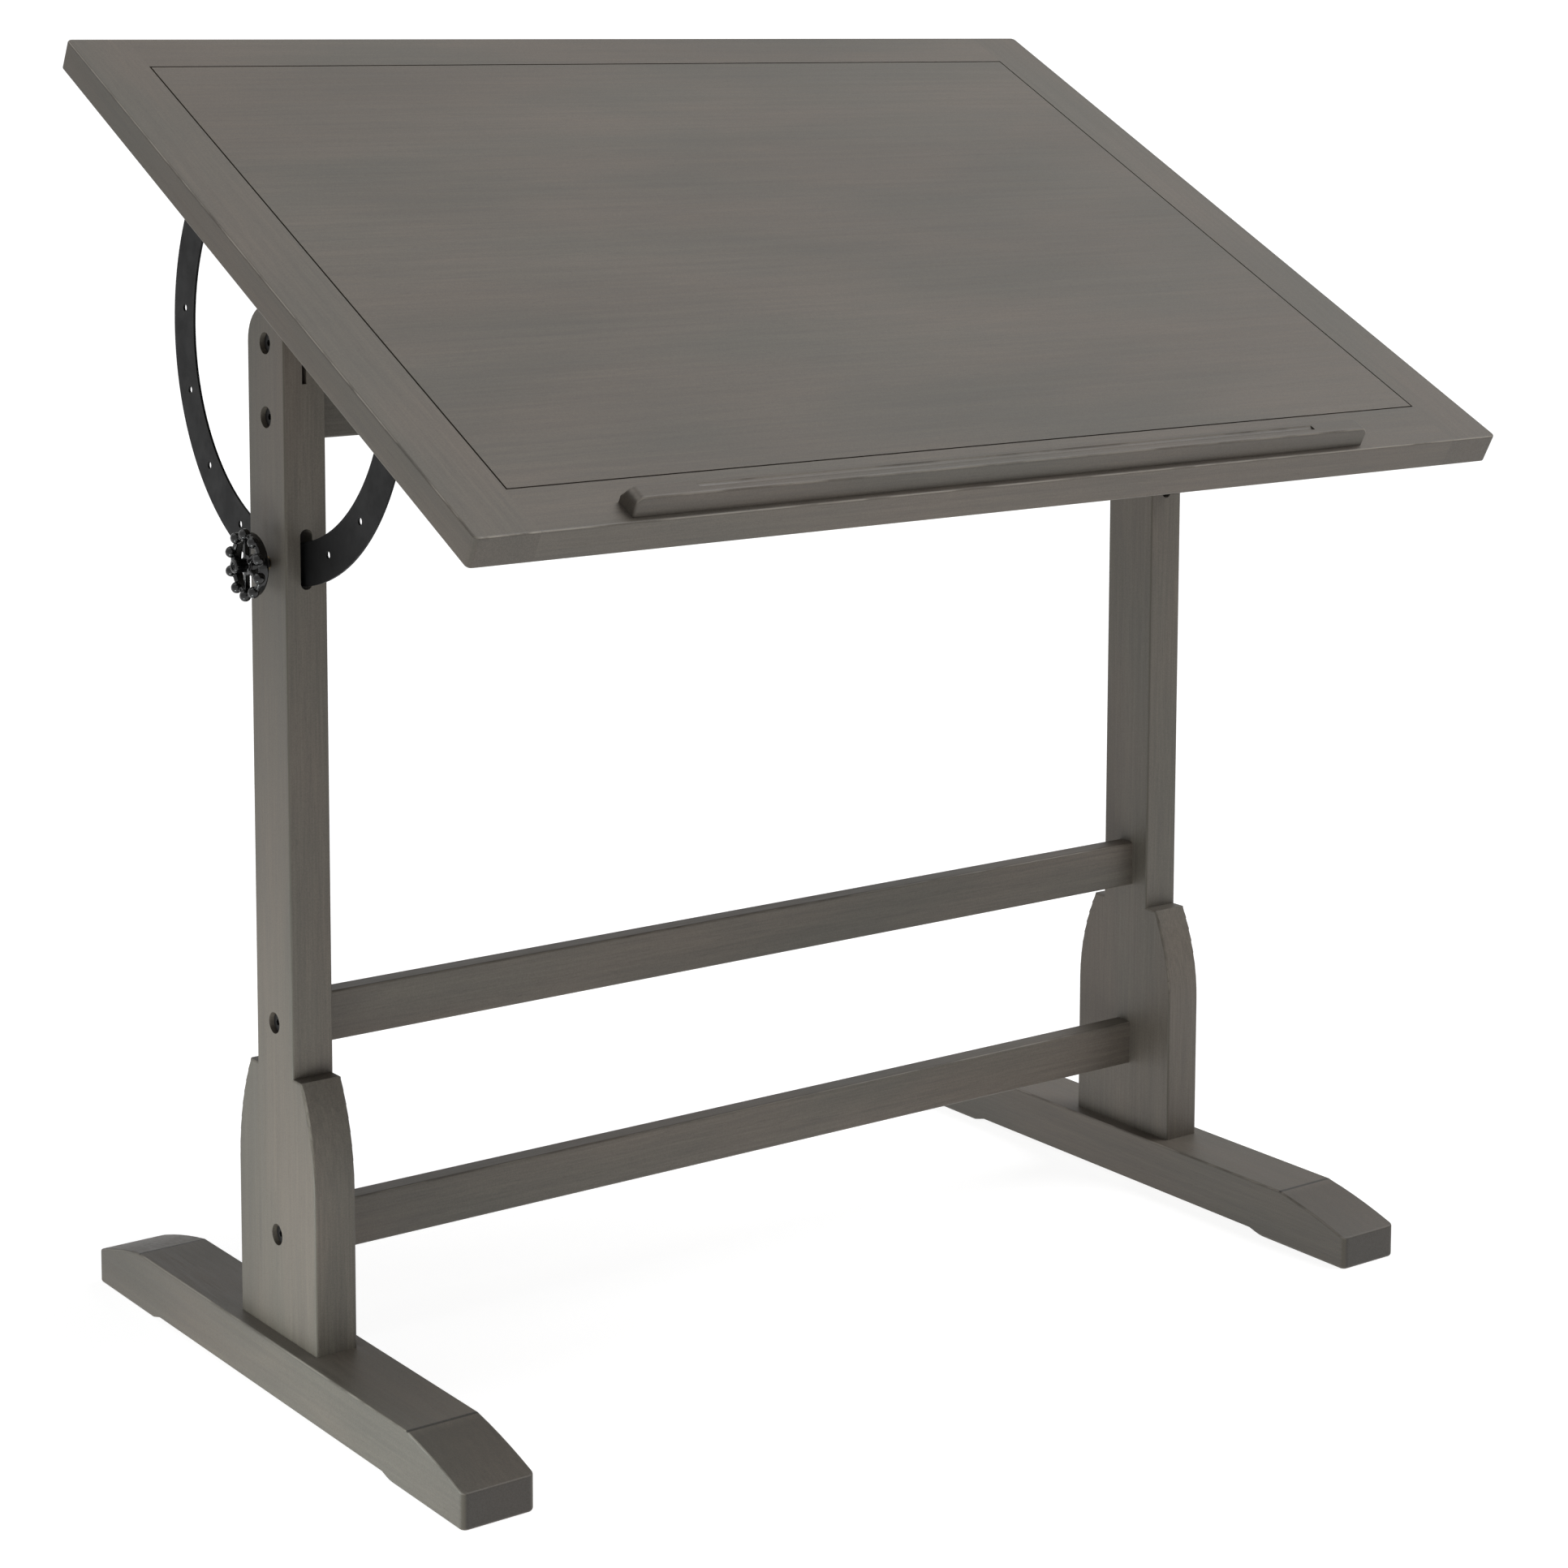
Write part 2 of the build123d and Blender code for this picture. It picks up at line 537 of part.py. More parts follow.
def tongue_ring(play):
    """The panel's tongue all round, or the groove for it when play is given."""
    reach = TONGUE_LENGTH + play
    return block(-OPENING_X - reach, OPENING_X + reach, OPENING_FRONT - reach, OPENING_REAR + reach,
                 PANEL_LOW - play, TONGUE_HIGH + play)


def top_panel():
    """Panel flush with the border's surface, behind a thin shadow gap."""
    gap = SHADOW_GAP
    board = block(-OPENING_X + gap, OPENING_X - gap, OPENING_FRONT + gap, OPENING_REAR - gap,
                  PANEL_LOW, PIVOT_TO_SURFACE)
    board += tongue_ring(0)
    return board - top_screw_holes()


def top_screw_holes():
    """Pilot holes that the cleat screws leave in the panel."""
    depth = PANEL_LOW - CLEAT_LOW + CLEAT_SCREW_BITE + HOLE_SPARE
    hole = rod_z(SCREW_HOLE_RADIUS, 0, depth, 0, 0)
    return [Pos(side * cleat_x(), y, CLEAT_LOW) * hole for side in (-1, 1) for y in CLEAT_SCREW_YS]


def frame_dowel_places():
    """Centres of the dowels at the border's right-hand corners."""
    mid_n = UNDERSIDE + TOP_THICK / 2
    fronts = [(OPENING_X, TOP_FRONT + inset, mid_n) for inset in FRAME_DOWEL_INSETS]
    rears = [(OPENING_X, TOP_REAR - inset, mid_n) for inset in FRAME_DOWEL_INSETS]
    return fronts + rears


def frame_dowel_holes():
    """Holes for the border's corner dowels, right side."""
    half = FRAME_DOWEL_LENGTH / 2 + 1
    return [rod_x(DOWEL_HOLE_RADIUS, x - half, x + half, y, n) for x, y, n in frame_dowel_places()]


def right_stile():
    """Side of the border, running the full depth so that its end grain shows at the front."""
    stile = block(OPENING_X, TOP_WIDTH / 2, TOP_FRONT, TOP_REAR, UNDERSIDE, PIVOT_TO_SURFACE)
    stile = fillet(edges_on(stile, Axis.X, TOP_WIDTH / 2).filter_by(Axis.Z), TOP_CORNER)
    around = edges_on(stile, Axis.Z, UNDERSIDE) + edges_on(stile, Axis.Z, PIVOT_TO_SURFACE)
    stile = fillet([edge for edge in around if edge.center().X > OPENING_X + 1], TOP_ARRIS)
    return stile - tongue_ring(TONGUE_PLAY) - frame_dowel_holes()


def border_rail(y0, y1, outer_y):
    """Front or rear of the border, between the stiles."""
    board = block(-OPENING_X, OPENING_X, y0, y1, UNDERSIDE, PIVOT_TO_SURFACE)
    board = fillet(edges_on(board, Axis.Y, outer_y).filter_by(Axis.X), TOP_ARRIS)
    board -= tongue_ring(TONGUE_PLAY)
    board -= frame_dowel_holes()
    return board - [mirrored(hole) for hole in frame_dowel_holes()]


def ledge_screw_places():
    """Where the ledge screws come up through the front border."""
    y = TOP_FRONT + LEDGE_SETBACK + LEDGE_RIDGE_DEPTH / 2
    return [(LEDGE_CENTRE_X + index * LEDGE_SCREW_SPACING, y, UNDERSIDE) for index in (-2, -1, 0, 1, 2)]


def front_rail():
    """Front of the border, bored for the ledge screws."""
    board = border_rail(TOP_FRONT, OPENING_FRONT, TOP_FRONT)
    return board - [Pos(*place) * screw_hole(THROUGH, TOP_THICK + 1) for place in ledge_screw_places()]


def rear_rail():
    """Rear of the border."""
    return border_rail(OPENING_REAR, TOP_REAR, TOP_REAR)


def frame_dowels():
    """All eight dowels of the border's corners."""
    right = [Pos(*place) * dowel(FRAME_DOWEL_LENGTH) for place in frame_dowel_places()]
    return right + [mirrored(pin) for pin in right]


def cleat_x():
    """Mid plane of the right cleat."""
    return LEG_X - ARC_THICK / 2 - CLEAT_WIDTH / 2


def right_cleat():
    """Bearer under the panel that the arc is screwed to."""
    half = CLEAT_WIDTH / 2
    bearer = block(cleat_x() - half, cleat_x() + half, -CLEAT_HALF_LENGTH, CLEAT_HALF_LENGTH,
                   CLEAT_LOW, PANEL_LOW)
    bearer = chamfer(edges_on(bearer, Axis.Z, CLEAT_LOW), WOOD_ARRIS)
    bearer -= [Pos(cleat_x(), y, CLEAT_LOW) * screw_hole(THROUGH, PANEL_LOW - CLEAT_LOW + 1)
               for y in CLEAT_SCREW_YS]
    hole_end = LEG_X + ARC_THICK / 2 - ARC_SCREW_LENGTH - ARC_SCREW_HOLE_SPARE
    return bearer - [rod_x(SCREW_HOLE_RADIUS, hole_end, cleat_x() + half + 1, y, ARC_SCREW_N)
                     for y in ARC_SCREW_YS]


def right_cleat_screws():
    """Screws up through the cleat into the panel."""
    length = PANEL_LOW - CLEAT_LOW + CLEAT_SCREW_BITE
    return [Pos(cleat_x(), y, CLEAT_LOW) * wood_screw(length) for y in CLEAT_SCREW_YS]


def arc_profile():
    """Steel arc seen from the side: a D with two windows, a pivot tab and index holes."""
    bar_high = PANEL_LOW - 0.5
    span = 2 * ARC_OUTER_RADIUS + 2
    below_bar_top = Pos(0, bar_high - span / 2) * Rectangle(span, span)
    below_bar = Pos(0, ARC_BAR_LOW - span / 2) * Rectangle(span, span)
    plate = Circle(ARC_OUTER_RADIUS) & below_bar_top
    window = Circle(ARC_INNER_RADIUS) & below_bar
    tab = Pos(0, ARC_BAR_LOW / 2) * Rectangle(2 * ARC_TAB_HALF_WIDTH, ARC_BAR_LOW)
    tab += Circle(ARC_TAB_HALF_WIDTH)
    plate -= window - tab
    plate -= Circle(PIVOT_RADIUS + RUNNING_CLEARANCE)
    for tilt in ARC_TILTS:
        plate -= Rot(0, 0, -90 - tilt) * Pos(ARC_HOLE_CIRCLE, 0) * Circle(ARC_HOLE_RADIUS)
    plate -= [Pos(y, ARC_SCREW_N) * Circle(SCREW_HOLE_RADIUS) for y in ARC_SCREW_YS]
    return plate


def right_arc_plate():
    """The arc, standing in the plane of the leg's slot and kerf."""
    plate = extrude(Plane.YZ * arc_profile(), amount=ARC_THICK / 2, both=True)
    corners = [edge for edge in plate.edges().filter_by(Axis.X)
               if abs(edge.center().Z - ARC_BAR_LOW) < 0.1 and edge.length > ARC_THICK - 0.1]
    plate = fillet(corners, ARC_CORNER)
    return Pos(LEG_X, 0, 0) * plate


def right_arc_screws():
    """Pan-head screws that hold the arc's bar to the cleat."""
    def pan_screw(y):
        head_x = LEG_X + ARC_THICK / 2
        top_x = head_x + PAN_HEAD_HEIGHT
        head = rod_x(PAN_HEAD_RADIUS, head_x, top_x, y, ARC_SCREW_N)
        head = fillet(head.edges().group_by(Axis.X)[-1], PAN_HEAD_ROUNDING)
        head -= Pos(top_x, y, ARC_SCREW_N) * Box(2 * PAN_CROSS_DEPTH, PAN_CROSS_LENGTH, CROSS_WIDTH)
        head -= Pos(top_x, y, ARC_SCREW_N) * Box(2 * PAN_CROSS_DEPTH, CROSS_WIDTH, PAN_CROSS_LENGTH)
        return head + rod_x(SCREW_RADIUS, head_x - ARC_SCREW_LENGTH, head_x, y, ARC_SCREW_N)
    return [pan_screw(y) for y in ARC_SCREW_YS]


def ledge_section():
    """Ledge seen from its end: a square ridge in front and a coved heel behind."""
    heel_n = LEDGE_HEEL_HEIGHT
    front = Line((0, 0), (0, LEDGE_HEIGHT))
    top = Line(front @ 1, (LEDGE_RIDGE_DEPTH, LEDGE_HEIGHT))
    cove = RadiusArc(top @ 1, (LEDGE_DEPTH, heel_n), -2 * LEDGE_HEEL_HEIGHT)
    back = Line(cove @ 1, (LEDGE_DEPTH, 0))
    sole = Line(back @ 1, (0, 0))
    return make_face(Curve() + [front, top, cove, back, sole])


def pencil_ledge():
    """Ledge along the front border, with a stopped groove for pencils along its top."""
    bar = extrude(Plane.YZ * ledge_section(), amount=LEDGE_LENGTH / 2, both=True)
    ends = [edge for edge in edges_on(bar, Axis.Z, LEDGE_HEIGHT) if abs(edge.center().X) > LEDGE_LENGTH / 2 - 1]
    bar = fillet(ends, LEDGE_END_ROUNDING)
    ridge = [edge for edge in bar.edges() if edge.center().Z > LEDGE_HEIGHT - LEDGE_END_ROUNDING
             and abs(edge.tangent_at(0.5).Y) < 0.5]
    bar = fillet(ridge, LEDGE_ARRIS)
    groove_half = LEDGE_LENGTH / 2 - LEDGE_GROOVE_MARGIN
    groove_y = LEDGE_RIDGE_DEPTH * 0.55
    groove_z = LEDGE_HEIGHT + LEDGE_GROOVE_RADIUS - LEDGE_GROOVE_DEPTH
    bar -= rod_x(LEDGE_GROOVE_RADIUS, -groove_half, groove_half, groove_y, groove_z)
    bar = Pos(LEDGE_CENTRE_X, TOP_FRONT + LEDGE_SETBACK, PIVOT_TO_SURFACE) * bar
    hole_depth = TOP_THICK + LEDGE_SCREW_BITE + HOLE_SPARE
    hole = rod_z(SCREW_HOLE_RADIUS, 0, hole_depth, 0, 0)
    return bar - [Pos(*place) * hole for place in ledge_screw_places()]


def ledge_screws():
    """Screws up through the front border into the ledge."""
    return [Pos(*place) * wood_screw(TOP_THICK + LEDGE_SCREW_BITE) for place in ledge_screw_places()]


# ---------------------------------------------------------------- table

def as_list(pieces):
    """The pieces of a node as a list of solids."""
    return list(pieces) if isinstance(pieces, (list, tuple)) else [pieces]


def pair(nodes, name, pieces):
    """Add a right-hand node and its left-hand twin."""
    nodes["right_" + name] = as_list(pieces)
    nodes["left_" + name] = [mirrored(piece) for piece in as_list(pieces)]


def stand_nodes():
    """Everything that stands still, with the knob that turns in it."""
    nodes = {
        "lower_stretcher": as_list(lower_stretcher()),
        "upper_stretcher": as_list(upper_stretcher()),
        "top_rail": as_list(top_rail()),
    }
    for name, pieces in (("foot", [right_foot()]), ("foot_pads", right_foot_pads())):
        nodes["right_" + name] = pieces
        nodes["left_" + name] = [Pos(-2 * LEG_X, 0, 0) * piece for piece in pieces]
    nodes["right_leg"] = as_list(right_leg(has_knob=False))
    nodes["left_leg"] = [mirrored(right_leg(has_knob=True))]
    pair(nodes, "leg_bolts", right_leg_bolts())
    pair(nodes, "pivot_bolt", right_pivot_bolt())
    pair(nodes, "barrel_nuts", right_barrel_nuts())
    pair(nodes, "rail_dowels", right_rail_dowels())
    pair(nodes, "foot_bolts", right_foot_bolts())
    pair(nodes, "foot_inserts", right_foot_inserts())
    for piece in (knob_insert, handwheel, knob_stud, knob_washer):
        nodes[piece.__name__] = [mirrored(piece())]
    return nodes


def top_nodes():
    """Everything that tilts."""
    nodes = {
        "top_panel": as_list(top_panel()),
        "front_rail": as_list(front_rail()),
        "rear_rail": as_list(rear_rail()),
        "frame_dowels": frame_dowels(),
        "pencil_ledge": as_list(pencil_ledge()),
        "ledge_screws": ledge_screws(),
    }
    pair(nodes, "stile", right_stile())
    pair(nodes, "cleat", right_cleat())
    pair(nodes, "cleat_screws", right_cleat_screws())
    pair(nodes, "arc_plate", right_arc_plate())
    pair(nodes, "arc_screws", right_arc_screws())
    return nodes


def write_nodes(nodes, place):
    """Write one STEP file per node and return the placed shapes."""
    written = []
    for name, pieces in nodes.items():
        placed = [place(piece) for piece in pieces]
        shape = placed[0] if len(placed) == 1 else Compound(children=placed)
        export_step(shape, f"parts/{name}.step")
        written.append(shape)
    return written


os.makedirs("parts", exist_ok=True)
shapes = write_nodes(stand_nodes(), on_stand) + write_nodes(top_nodes(), on_top)
low = [min(getattr(shape.bounding_box().min, axis) for shape in shapes) for axis in "XYZ"]
high = [max(getattr(shape.bounding_box().max, axis) for shape in shapes) for axis in "XYZ"]
print("box low", [round(value, 2) for value in low], "high", [round(value, 2) for value in high])
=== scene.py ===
import json
import math

import bmesh
import bpy
from mathutils import Matrix, Vector


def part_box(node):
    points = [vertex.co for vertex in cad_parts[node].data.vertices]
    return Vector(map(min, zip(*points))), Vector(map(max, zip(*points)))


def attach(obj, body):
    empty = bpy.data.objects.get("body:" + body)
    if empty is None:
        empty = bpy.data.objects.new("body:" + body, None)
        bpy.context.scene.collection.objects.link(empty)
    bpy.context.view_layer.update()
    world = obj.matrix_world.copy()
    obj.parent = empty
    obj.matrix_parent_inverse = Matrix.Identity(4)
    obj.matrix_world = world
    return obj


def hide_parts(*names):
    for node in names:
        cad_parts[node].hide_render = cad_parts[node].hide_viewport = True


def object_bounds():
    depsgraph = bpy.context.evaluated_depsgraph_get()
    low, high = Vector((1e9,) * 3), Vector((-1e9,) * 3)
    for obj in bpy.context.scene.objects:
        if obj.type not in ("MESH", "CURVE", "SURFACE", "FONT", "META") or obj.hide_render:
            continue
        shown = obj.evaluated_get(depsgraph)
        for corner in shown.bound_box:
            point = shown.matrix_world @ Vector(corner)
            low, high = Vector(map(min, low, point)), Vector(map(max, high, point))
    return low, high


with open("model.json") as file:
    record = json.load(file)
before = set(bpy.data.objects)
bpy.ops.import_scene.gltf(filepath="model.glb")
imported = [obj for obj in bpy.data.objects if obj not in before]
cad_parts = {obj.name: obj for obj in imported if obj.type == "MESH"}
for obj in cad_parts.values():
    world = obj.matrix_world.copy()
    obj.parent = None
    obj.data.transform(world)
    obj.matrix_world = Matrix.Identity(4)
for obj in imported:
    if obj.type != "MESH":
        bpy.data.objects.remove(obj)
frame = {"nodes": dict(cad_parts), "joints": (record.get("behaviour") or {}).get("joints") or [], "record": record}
CAD_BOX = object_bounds()
NODES = frame["nodes"]
MOUNTS = {mount["name"]: mount for mount in frame["record"]["mounts"]}
JOINTS = {joint["name"]: joint for joint in frame["joints"]}

# The top's tilt at rest, from the drawing surface's normal
SURFACE_NORMAL = Vector(MOUNTS["drawing_surface"]["axis"])
TILT = math.atan2(-SURFACE_NORMAL.y, SURFACE_NORMAL.z)
PIVOT = Vector(JOINTS["top_tilt"]["pos_m"])

# Camera: a long lens low on the table's left front, framed with a little shift
IMAGE_SIZE = 1932
CAMERA_OFFSET = Vector((-1.7809, -2.4660, 1.1453))
CAMERA_YAW = -35.875
CAMERA_PITCH = -6.404
CAMERA_ROLL = 0.123
FOCAL_SHARE = 4193.7 / IMAGE_SIZE
CENTRE_SHARE = (933.8 / IMAGE_SIZE, 499.2 / IMAGE_SIZE)
SENSOR = 36.0


def add_camera():
    """A camera at the reference viewing angle, measured from the legs' mid plane."""
    data = bpy.data.cameras.new("camera")
    data.sensor_width = SENSOR
    data.sensor_fit = "HORIZONTAL"
    data.lens = FOCAL_SHARE * SENSOR
    data.shift_x = 0.5 - CENTRE_SHARE[0]
    data.shift_y = CENTRE_SHARE[1] - 0.5
    data.clip_end = 500
    camera = bpy.data.objects.new("camera", data)
    bpy.context.scene.collection.objects.link(camera)
    yaw, pitch, roll = (math.radians(a) for a in (CAMERA_YAW, CAMERA_PITCH, CAMERA_ROLL))
    ahead = Vector((-math.sin(yaw) * math.cos(pitch), math.cos(yaw) * math.cos(pitch), math.sin(pitch)))
    level = Vector((math.cos(yaw), math.sin(yaw), 0))
    over = level.cross(ahead)
    right = math.cos(roll) * level + math.sin(roll) * over
    up = math.cos(roll) * over - math.sin(roll) * level
    turn = Matrix((right, up, -ahead)).transposed()
    place = CAMERA_OFFSET + Vector((0, PIVOT.y, 0))
    camera.matrix_world = Matrix.Translation(place) @ turn.to_4x4()
    bpy.context.scene.camera = camera


# ------------------------------------------------------------- studio

SKY_STRENGTH = 0.12
SKY_TO_CAMERA = 1.15
SKY_TO_GLOSS = 0.75
SUN_WIDTH = 38.0
RIGHT_SUN = (Vector((0.46, -0.24, 0.86)), 1.85)
LEFT_SUN = (Vector((-0.40, 0.30, 0.87)), 0.26)
FLOOR_SIZE = 8
FLOOR_PALE = 0.38
FLOOR_GLOW = 0.88

# A low light that lifts the left leg's outer face
LOW_LIGHT_PLACE = (-0.98, -0.12, 0.08)
LOW_LIGHT_TARGET = (-0.5, 0, 0.08)
LOW_LIGHT_SIZE = (0.34, 0.20)
LOW_LIGHT_POWER = 2.7
LOW_LIGHT_COLOUR = (0.91, 1.0, 0.99)


def area_light(name, place, target, size, power, colour):
    """A soft rectangular light that faces a target."""
    data = bpy.data.lights.new(name, "AREA")
    data.shape = "RECTANGLE"
    data.size, data.size_y = size
    data.energy = power
    data.color = colour
    light = bpy.data.objects.new(name, data)
    light.location = place
    light.rotation_euler = (Vector(target) - Vector(place)).to_track_quat("-Z", "Y").to_euler()
    light.visible_camera = False
    bpy.context.scene.collection.objects.link(light)


def add_sun(name, source, strength):
    """A very wide sun: soft shadows and an even floor."""
    data = bpy.data.lights.new(name, "SUN")
    data.energy = strength
    data.angle = math.radians(SUN_WIDTH)
    sun = bpy.data.objects.new(name, data)
    sun.rotation_euler = (-source).to_track_quat("-Z", "Y").to_euler()
    bpy.context.scene.collection.objects.link(sun)


def add_surround():
    """An even surround: white to the camera, bright in reflections and dimmer as a light."""
    world = bpy.data.worlds.new("surround")
    bpy.context.scene.world = world
    world.use_nodes = True
    tree = world.node_tree
    background = tree.nodes["Background"]
    background.inputs["Color"].default_value = (1, 1, 1, 1)
    path = tree.nodes.new("ShaderNodeLightPath")
    strength = None
    for ray, level in (("Is Glossy Ray", SKY_TO_GLOSS), ("Is Camera Ray", SKY_TO_CAMERA)):
        share = tree.nodes.new("ShaderNodeMath")
        share.operation = "MULTIPLY_ADD"
        tree.links.new(path.outputs[ray], share.inputs[0])
        share.inputs[1].default_value = level - SKY_STRENGTH
        if strength is None:
            share.inputs[2].default_value = SKY_STRENGTH
        else:
            tree.links.new(strength, share.inputs[2])
        strength = share.outputs[0]
    tree.links.new(strength, background.inputs["Strength"])


def add_floor():
    """A plain pale floor that glows a little, like a light table."""
    bpy.ops.mesh.primitive_plane_add(size=FLOOR_SIZE, location=(0, 0, CAD_BOX[0][2]))
    floor = bpy.context.object
    floor.name = "floor"
    pale = bpy.data.materials.new("floor_pale")
    pale.use_nodes = True
    shader = pale.node_tree.nodes["Principled BSDF"]
    shader.inputs["Base Color"].default_value = (FLOOR_PALE, FLOOR_PALE, FLOOR_PALE, 1)
    shader.inputs["Roughness"].default_value = 0.9
    shader.inputs["Specular IOR Level"].default_value = 0.1
    shader.inputs["Emission Color"].default_value = (1, 1, 1, 1)
    shader.inputs["Emission Strength"].default_value = FLOOR_GLOW
    floor.data.materials.append(pale)


def add_studio():
    """Pale floor, bright surround and soft lights."""
    bpy.context.scene.view_settings.view_transform = "Standard"
    add_surround()
    add_floor()
    add_sun("right_key", *RIGHT_SUN)
    add_sun("left_key", *LEFT_SUN)
    area_light("low_left", LOW_LIGHT_PLACE, LOW_LIGHT_TARGET, LOW_LIGHT_SIZE,
               LOW_LIGHT_POWER, LOW_LIGHT_COLOUR)


# ------------------------------------------------------------- node helpers

class Graph:
    """A material's node tree, built by short calls."""

    def __init__(self, name):
        self.material = bpy.data.materials.new(name)
        self.material.use_nodes = True
        self.tree = self.material.node_tree
        self.shader = self.tree.nodes["Principled BSDF"]
        self.coordinates = self.add("ShaderNodeTexCoord")

    def add(self, kind, **inputs):
        """Add a node; inputs are values, or sockets to link."""
        node = self.tree.nodes.new(kind)
        for name, value in inputs.items():
            self.put(node.inputs[name.replace("_", " ")], value)
        return node

    def put(self, socket, value):
        """Set or link one input socket."""
        if isinstance(value, bpy.types.NodeSocket):
            self.tree.links.new(value, socket)
        else:
            socket.default_value = value

    def position(self, tilted=False, offset=(0, 0, 0)):
        """Object coordinates, turned into the flat top's frame for a tilted piece."""
        vector = self.coordinates.outputs["Object"]
        if tilted:
            turn = self.add("ShaderNodeVectorRotate", Vector=vector, Center=tuple(PIVOT), Angle=-TILT)
            turn.rotation_type = "X_AXIS"
            vector = turn.outputs[0]
        return self.math3("ADD", vector, offset)

    def normal(self, tilted=False):
        """Object space normal, turned into the flat top's frame for a tilted piece."""
        vector = self.coordinates.outputs["Normal"]
        if tilted:
            turn = self.add("ShaderNodeVectorRotate", Vector=vector, Angle=-TILT)
            turn.rotation_type = "X_AXIS"
            vector = turn.outputs[0]
        return vector

    def math3(self, operation, a, b):
        """Vector maths."""
        node = self.add("ShaderNodeVectorMath")
        node.operation = operation
        self.put(node.inputs[0], a)
        self.put(node.inputs[1], b)
        return node.outputs[0]

    def math(self, operation, a, b=0.0, c=0.0, clamp=False):
        """Scalar maths."""
        node = self.add("ShaderNodeMath")
        node.operation = operation
        node.use_clamp = clamp
        for socket, value in zip(node.inputs, (a, b, c)):
            self.put(socket, value)
        return node.outputs[0]

    def noise(self, vector, scale, detail=4.0, roughness=0.5, distortion=0.0):
        """Noise between 0 and 1, centred near a half."""
        node = self.add("ShaderNodeTexNoise", Vector=vector, Scale=scale, Detail=detail,
                        Roughness=roughness, Distortion=distortion)
        return node.outputs["Fac"]

    def spread(self, value, low, high, out_low=0.0, out_high=1.0):
        """Map a range onto another, clamped and smooth."""
        node = self.add("ShaderNodeMapRange", Value=value)
        node.interpolation_type = "SMOOTHSTEP"
        for name, number in zip(("From Min", "From Max", "To Min", "To Max"), (low, high, out_low, out_high)):
            self.put(node.inputs[name], number)
        return node.outputs[0]

    def blend(self, factor, a, b, mode="MIX"):
        """Mix two colours."""
        node = self.tree.nodes.new("ShaderNodeMix")
        node.data_type = "RGBA"
        node.blend_type = mode
        self.put(node.inputs[0], factor)
        self.put(node.inputs[6], a)
        self.put(node.inputs[7], b)
        return node.outputs[2]

    def bump(self, height, distance, strength=1.0, normal=None):
        """Bump from a height field in metres."""
        node = self.add("ShaderNodeBump", Height=height, Distance=distance, Strength=strength)
        if normal is not None:
            self.put(node.inputs["Normal"], normal)
        return node.outputs[0]

    def finish(self, colour, roughness, normal, metallic=0.0):
        """Link the surface channels."""
        self.put(self.shader.inputs["Base Color"], colour)
        self.put(self.shader.inputs["Roughness"], roughness)
        self.put(self.shader.inputs["Normal"], normal)
        self.shader.inputs["Metallic"].default_value = metallic
        return self.material


def tone(red, green, blue):
    """A colour given as screen values from 0 to 255, made linear."""
    def channel(value):
        share = value / 255
        return share / 12.92 if share <= 0.04045 else ((share + 0.055) / 1.055) ** 2.4
    return (channel(red), channel(green), channel(blue), 1.0)


# ------------------------------------------------------------- wood

# Grain features: the width across the grain and the length along it, in metres
WASH = (0.160, 0.380)
CLOUD = (0.080, 0.260)
STREAK = (0.006, 0.300)
FIBRE = (0.0021, 0.060)
PORE = (0.0008, 0.014)
FIBRE_RELIEF = 0.00005
SPECK_SCALE = 900.0
BROKEN = (0.02, 0.05)
STAIN_WARM = tone(101, 93, 84)
STAIN_COOL = tone(91, 87, 79)
# Light tone of the upward arrises: rubbed wear and a painted highlight together
EDGE_WORN_AND_HIGHLIGHT = tone(176, 169, 158)
EDGE_DARK = tone(74, 69, 58)
SOFT_END = 0.80
DARK_END = 0.40


def stretched(graph, vector, axis, size):
    """Coordinates divided by the feature size, longer along the grain."""
    across, along = size
    scale = [1 / across] * 3
    scale["XYZ".index(axis)] = 1 / along
    return graph.math3("MULTIPLY", vector, tuple(scale))


def absolute_parts(graph, vector):
    """The three absolute components of a vector."""
    node = graph.add("ShaderNodeVectorMath")
    node.operation = "ABSOLUTE"
    graph.put(node.inputs[0], vector)
    split = graph.add("ShaderNodeSeparateXYZ", Vector=node.outputs[0])
    return [split.outputs[axis] for axis in "XYZ"]


def arris_share(graph, normal, shape):
    """0 on flat faces and 1 in the middle of a rounded arris."""
    x, y, z = absolute_parts(graph, normal)
    if shape == "plank":
        square = graph.math("MULTIPLY", x, x)
        other = graph.math("SUBTRACT", 1.0, square)
        share = graph.math("MULTIPLY", graph.math("MULTIPLY", square, other), 4.0)
        return graph.spread(share, 0.25, 0.95)
    largest = graph.math("MAXIMUM", x, graph.math("MAXIMUM", y, z))
    return graph.spread(largest, 0.97, 0.75)


